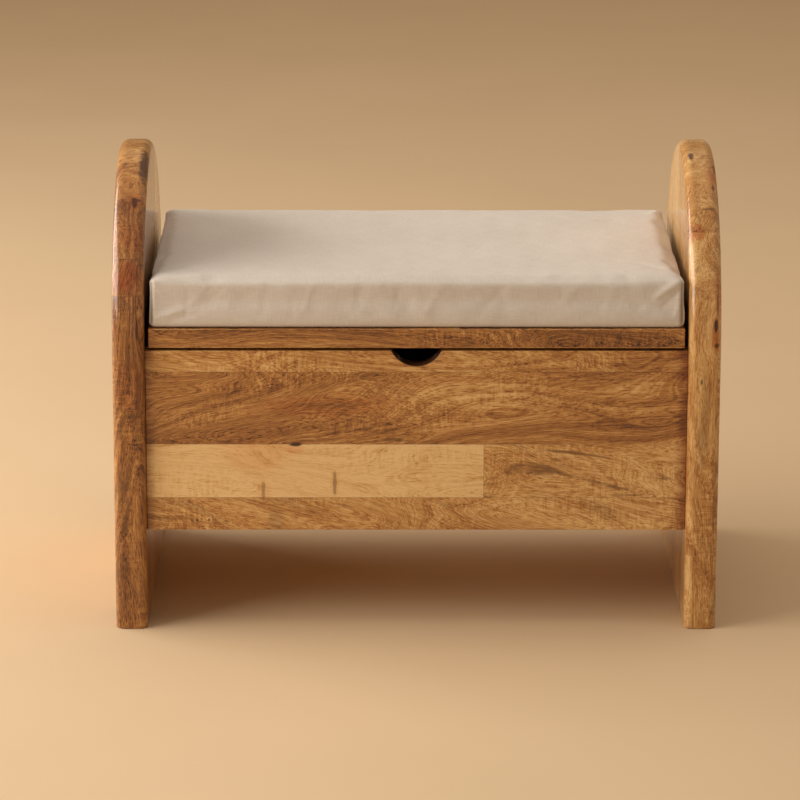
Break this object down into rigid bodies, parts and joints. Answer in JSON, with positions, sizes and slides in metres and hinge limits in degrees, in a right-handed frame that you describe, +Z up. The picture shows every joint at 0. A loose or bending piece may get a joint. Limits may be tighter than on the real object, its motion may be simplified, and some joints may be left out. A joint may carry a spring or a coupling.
{
  "type": "wooden toy box bench",
  "caption": "Wooden toy box with arched side panels as feet, a raised box between them and a hinged lid topped by a canvas cushion.",
  "frame": {"origin": "centre of the footprint, on the floor between the two side panels", "axes": "+X to the right along the box, +Y to the back where the hinges are, +Z up"},
  "size_m": [0.6, 0.36, 0.46],
  "materials": {
    "side_wood": "satin lacquer over mango wood, edge-glued staves",
    "box_wood": "satin lacquer over mango wood, edge-glued staves of several colours",
    "lid_wood": "satin lacquer over mango wood",
    "inner_wood": "pale wood, thin matt lacquer",
    "dowel_wood": "bare beech",
    "canvas": "unbleached cotton canvas, plain weave",
    "foam": "open-cell foam",
    "hook_tape": "hook-and-loop tape",
    "hinge_brass": "satin, lightly aged",
    "steel": "zinc-plated, satin",
    "stay_plastic": "fine moulded texture",
    "bumper_rubber": "soft, matt"
  },
  "bodies": {
    "case": {"left_side_panel": "side_wood", "right_side_panel": "side_wood", "front_panel": "box_wood", "back_panel": "box_wood", "bottom_panel": "inner_wood", "front_batten": "inner_wood", "rear_batten": "inner_wood", "left_batten": "inner_wood", "right_batten": "inner_wood", "front_dowels": "dowel_wood", "back_dowels": "dowel_wood", "batten_screws": "steel", "bottom_screws": "steel", "lid_bumpers": "bumper_rubber", "left_hinge_case_leaf": "hinge_brass", "left_hinge_pin": "hinge_brass", "right_hinge_case_leaf": "hinge_brass", "right_hinge_pin": "hinge_brass", "hinge_case_screws": "hinge_brass", "stay_housing": "stay_plastic", "stay_cover": "stay_plastic", "stay_housing_screws": "steel"},
    "lid": {"lid_board": "lid_wood", "hook_strips": "hook_tape", "loop_strips": "hook_tape", "cushion_foam": "foam", "cushion_cover": "canvas", "left_hinge_lid_leaf": "hinge_brass", "right_hinge_lid_leaf": "hinge_brass", "hinge_lid_screws": "hinge_brass", "stay_lid_bracket": "steel", "stay_bracket_pin": "steel", "stay_bracket_screws": "steel"},
    "stay_arm": {"stay_damper": "steel", "stay_arm": "steel", "stay_elbow_rivet": "steel"},
    "stay_link": {"stay_link": "steel"}
  },
  "joints": [
    {"name": "lid_hinge", "type": "hinge", "parent": "case", "child": "lid", "pos_m": [0, 0.1718, 0.28525], "axis": [-1, 0, 0], "range_deg": [0, 90]},
    {"name": "stay_arm_pivot", "type": "hinge", "parent": "case", "child": "stay_arm", "pos_m": [0.2575, 0.1018, 0.21025], "axis": [-1, 0, 0], "range_deg": [0, 90]},
    {"name": "stay_elbow", "type": "hinge", "parent": "stay_arm", "child": "stay_link", "pos_m": [0.245, 0.0418, 0.19125], "axis": [-1, 0, 0], "range_deg": [-90, 0]}
  ],
  "couplings": [
    {"joint": "stay_arm_pivot", "follows": "lid_hinge", "ratio": 1},
    {"joint": "stay_elbow", "follows": "lid_hinge", "ratio": -1}
  ]
}
